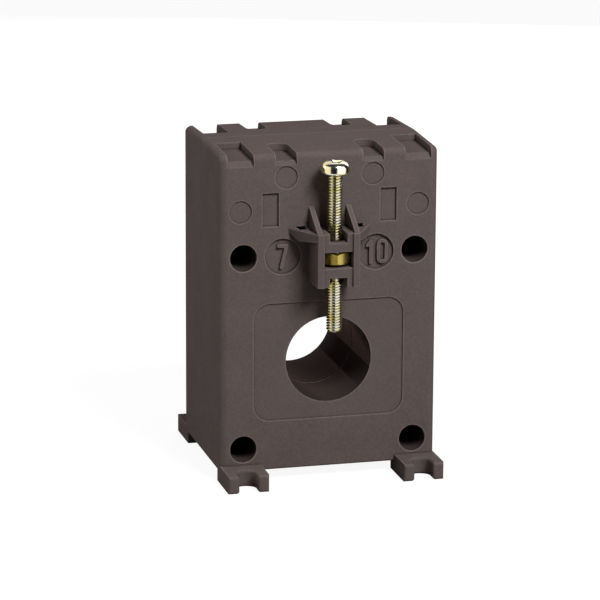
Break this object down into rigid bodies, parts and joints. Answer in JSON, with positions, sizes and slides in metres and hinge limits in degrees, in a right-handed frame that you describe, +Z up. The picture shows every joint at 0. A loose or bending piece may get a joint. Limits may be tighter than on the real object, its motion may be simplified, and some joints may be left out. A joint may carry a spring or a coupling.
{
  "type": "current transformer",
  "caption": "Ring-core current transformer in a slotted-foot plastic case, with a round conductor bore, a clamp screw over it and screw terminals behind.",
  "frame": {"origin": "on the bore's axis, at the split between the two case halves", "axes": "+Z up, +Y along the bore from the clamp side to the terminal side, +X to the right seen from the clamp side"},
  "size_m": [0.056, 0.0584, 0.0845],
  "materials": {
    "case": "fine moulded texture",
    "clamp_holder": "fine moulded texture",
    "zinc_steel": "bright zinc plate",
    "clamp_nut": "yellow, bright",
    "brass": "bright",
    "core_steel": "rolled strip",
    "cup": "moulded",
    "copper": "enamelled copper wire",
    "tape": "polyester film",
    "pad": "soft",
    "lead": "insulation"
  },
  "bodies": {
    "case": {"front_shell": "case", "rear_shell": "case", "clamp_holder": "clamp_holder", "clamp_nut": "clamp_nut", "core": "core_steel", "core_cup_front": "cup", "core_cup_rear": "cup", "secondary_winding": "copper", "winding_tape": "tape", "front_pad": "pad", "rear_pad": "pad", "lead_1": "lead", "lead_2": "lead", "terminal_plate_1": "brass", "terminal_plate_2": "brass", "terminal_nut_1": "zinc_steel", "terminal_nut_2": "zinc_steel"},
    "clamp_screw": {"clamp_screw": "zinc_steel"},
    "terminal_washer_1": {"terminal_washer_1": "zinc_steel"},
    "terminal_washer_2": {"terminal_washer_2": "zinc_steel"},
    "terminal_screw_1": {"terminal_screw_1": "zinc_steel"},
    "terminal_screw_2": {"terminal_screw_2": "zinc_steel"}
  },
  "joints": [
    {"name": "clamp_screw_travel", "type": "slide", "parent": "case", "child": "clamp_screw", "axis": [0, 0, 1], "range_m": [-0.014, 0.0167]},
    {"name": "terminal_1_travel", "type": "slide", "parent": "case", "child": "terminal_washer_1", "axis": [0, 1, 0], "range_m": [0, 0.0035]},
    {"name": "terminal_1_turn", "type": "hinge", "parent": "terminal_washer_1", "child": "terminal_screw_1", "pos_m": [0.0095, 0.0111, 0.043], "axis": [0, 1, 0], "range_deg": [0, 1800]},
    {"name": "terminal_2_travel", "type": "slide", "parent": "case", "child": "terminal_washer_2", "axis": [0, 1, 0], "range_m": [0, 0.0035]},
    {"name": "terminal_2_turn", "type": "hinge", "parent": "terminal_washer_2", "child": "terminal_screw_2", "pos_m": [-0.0095, 0.0111, 0.043], "axis": [0, 1, 0], "range_deg": [0, 1800]}
  ],
  "couplings": [
    {"joint": "terminal_1_turn", "follows": "terminal_1_travel", "rad_per_m": 8975.9},
    {"joint": "terminal_2_turn", "follows": "terminal_2_travel", "rad_per_m": 8975.9}
  ]
}
